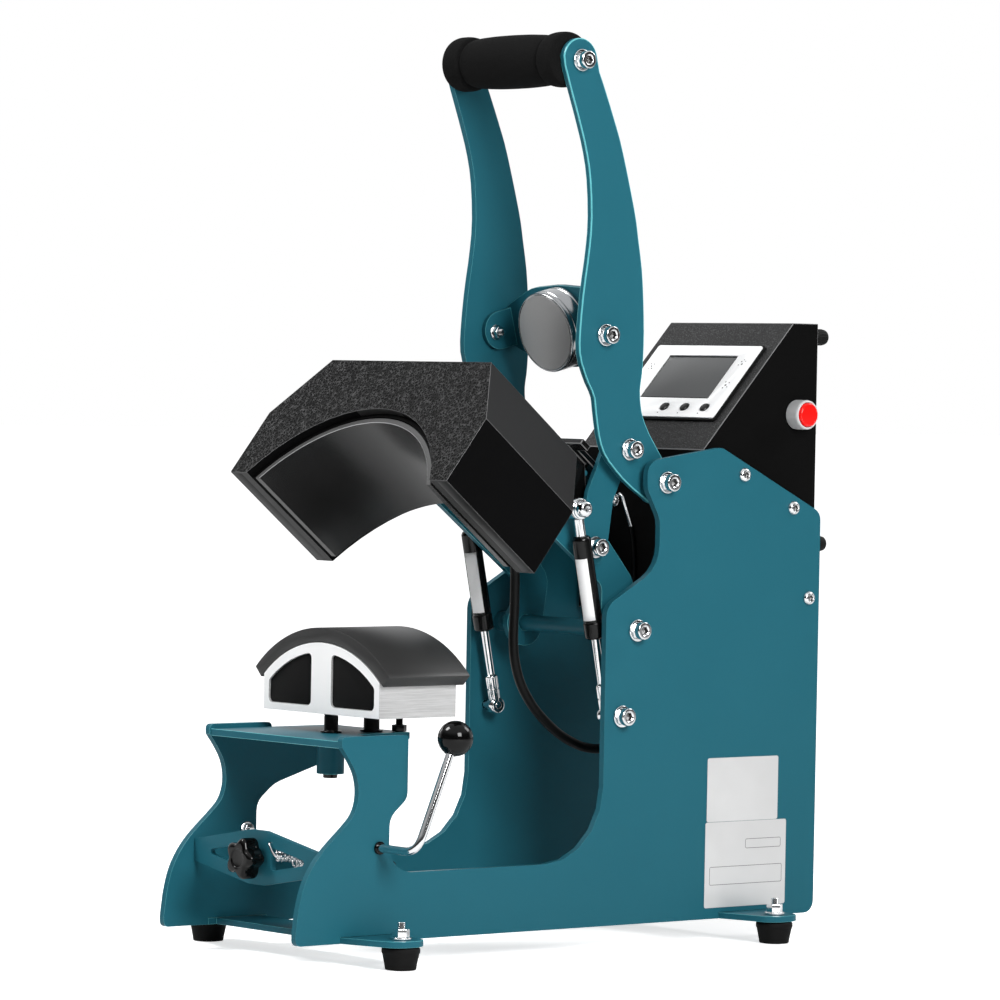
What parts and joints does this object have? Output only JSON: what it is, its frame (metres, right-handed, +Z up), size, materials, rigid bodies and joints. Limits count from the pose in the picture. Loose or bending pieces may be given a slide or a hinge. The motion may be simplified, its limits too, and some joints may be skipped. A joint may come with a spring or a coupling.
{
  "type": "cap heat press",
  "caption": "Cap heat press: a curved heated platen swings down on a curved padded block by a long handle with a foam grip, gas springs and a box with display.",
  "frame": {"origin": "under the middle of the press's box, on the surface that it stands on", "axes": "+X to the right of someone who stands at the front, +Y to the rear, +Z up"},
  "size_m": [0.258, 0.5164, 0.661],
  "materials": {
    "teal_paint": "satin powder coat",
    "cover_paint": "textured powder coat",
    "black_steel": "gloss",
    "black_plastic": "gloss",
    "black_rubber": "matt",
    "grip_foam": "matt foam",
    "bright_steel": "polished",
    "magnet_steel": "ground",
    "brushed_aluminium": "brushed",
    "heater_skin": "dark non-stick coat",
    "white_plastic": "satin",
    "red_plastic": "gloss",
    "screen": "gloss",
    "board": "satin"
  },
  "bodies": {
    "frame": {"side_plate_right": "teal_paint", "side_plate_left": "teal_paint", "front_cross_plate": "teal_paint", "rear_cross_plate": "teal_paint", "shelf": "teal_paint", "pressure_bracket": "teal_paint", "swing_axle": "teal_paint", "box_case": "cover_paint", "rear_panel": "cover_paint", "front_post": "black_steel", "rear_post": "black_steel", "spring_bar": "black_steel", "fuse_holder": "black_plastic", "cable_gland": "black_plastic", "foot_front_right": "black_rubber", "foot_front_left": "black_rubber", "foot_rear_right": "black_rubber", "foot_rear_left": "black_rubber", "silicone_pad": "black_rubber", "platen_lead": "black_rubber", "adjusting_screw": "bright_steel", "pull_spring_right": "bright_steel", "pull_spring_left": "bright_steel", "handle_pivot_bolt_right": "bright_steel", "handle_pivot_bolt_left": "bright_steel", "gas_stud_lower_right": "bright_steel", "gas_stud_lower_left": "bright_steel", "lower_block": "brushed_aluminium", "display_panel": "white_plastic", "stop_bezel": "white_plastic", "display_screen": "screen", "controller_board": "board"},
    "platen": {"swing_arm_right": "teal_paint", "swing_arm_left": "teal_paint", "armature": "black_steel", "platen_cover": "cover_paint", "insulation_liner": "black_rubber", "heating_shell": "heater_skin", "link_bolt_right": "bright_steel", "link_bolt_left": "bright_steel", "gas_stud_upper_right": "bright_steel", "gas_stud_upper_left": "bright_steel"},
    "handle": {"handle_arm_right": "teal_paint", "handle_arm_left": "teal_paint", "handle_grip": "grip_foam", "electromagnet": "magnet_steel", "magnet_yoke": "teal_paint"},
    "links": {"link_right": "teal_paint", "link_left": "teal_paint"},
    "gas_rods": {"gas_rod_right": "bright_steel", "gas_rod_left": "bright_steel"},
    "gas_cylinders": {"gas_cylinder_right": "black_steel", "gas_cylinder_left": "black_steel"},
    "lever": {"lever_rod": "bright_steel", "lever_ball": "black_plastic"},
    "knob": {"star_knob": "black_plastic"},
    "stop": {"stop_button": "red_plastic"},
    "button_1": {"panel_button_1": "black_plastic"},
    "button_2": {"panel_button_2": "black_plastic"},
    "button_3": {"panel_button_3": "black_plastic"}
  },
  "joints": [
    {"name": "handle_swing", "type": "hinge", "parent": "frame", "child": "handle", "pos_m": [-0.0045, 0.07555, 0.3373], "axis": [1, 0, 0], "range_deg": [0, 75.38], "stiffness_Nm_per_rad": 4, "springref_deg": -74.48},
    {"name": "platen_swing", "type": "hinge", "parent": "frame", "child": "platen", "pos_m": [-0.0045, 0.04935, 0.23], "axis": [1, 0, 0], "range_deg": [0, 38.7], "deforming": ["platen_lead"]},
    {"name": "link_turn", "type": "hinge", "parent": "platen", "child": "links", "pos_m": [-0.0045, 0.02785, 0.2897], "axis": [1, 0, 0], "range_deg": [-65.46, 0]},
    {"name": "gas_spring_tilt", "type": "hinge", "parent": "frame", "child": "gas_rods", "pos_m": [-0.0045, 0.03585, 0.168], "axis": [1, 0, 0], "range_deg": [0, 24.91]},
    {"name": "gas_spring_stroke", "type": "slide", "parent": "gas_rods", "child": "gas_cylinders", "axis": [0, -0.2058, 0.9786], "range_m": [-0.02527, 0]},
    {"name": "lever_turn", "type": "hinge", "parent": "frame", "child": "lever", "pos_m": [-0.0045, -0.18605, 0.082], "axis": [1, 0, 0], "range_deg": [0, 70]},
    {"name": "knob_turn", "type": "hinge", "parent": "frame", "child": "knob", "pos_m": [-0.0045, -0.24065, 0.0711], "axis": [0, 1, 0], "range_deg": [-360, 360]},
    {"name": "stop_press", "type": "slide", "parent": "frame", "child": "stop", "axis": [-1, 0, 0], "range_m": [0, 0.003], "stiffness_N_per_m": 500, "springref_m": -0.001},
    {"name": "button_1_press", "type": "slide", "parent": "frame", "child": "button_1", "axis": [0, 0.7325, -0.6807], "range_m": [0, 0.0008], "stiffness_N_per_m": 400, "springref_m": -0.0004},
    {"name": "button_2_press", "type": "slide", "parent": "frame", "child": "button_2", "axis": [0, 0.7325, -0.6807], "range_m": [0, 0.0008], "stiffness_N_per_m": 400, "springref_m": -0.0004},
    {"name": "button_3_press", "type": "slide", "parent": "frame", "child": "button_3", "axis": [0, 0.7325, -0.6807], "range_m": [0, 0.0008], "stiffness_N_per_m": 400, "springref_m": -0.0004}
  ],
  "couplings": [
    {"joint": "platen_swing", "follows": "handle_swing", "ratio": 0.5134},
    {"joint": "link_turn", "follows": "handle_swing", "ratio": -0.86822},
    {"joint": "gas_spring_tilt", "follows": "handle_swing", "ratio": 0.33028},
    {"joint": "gas_spring_stroke", "follows": "handle_swing", "m_per_rad": -0.019198}
  ]
}
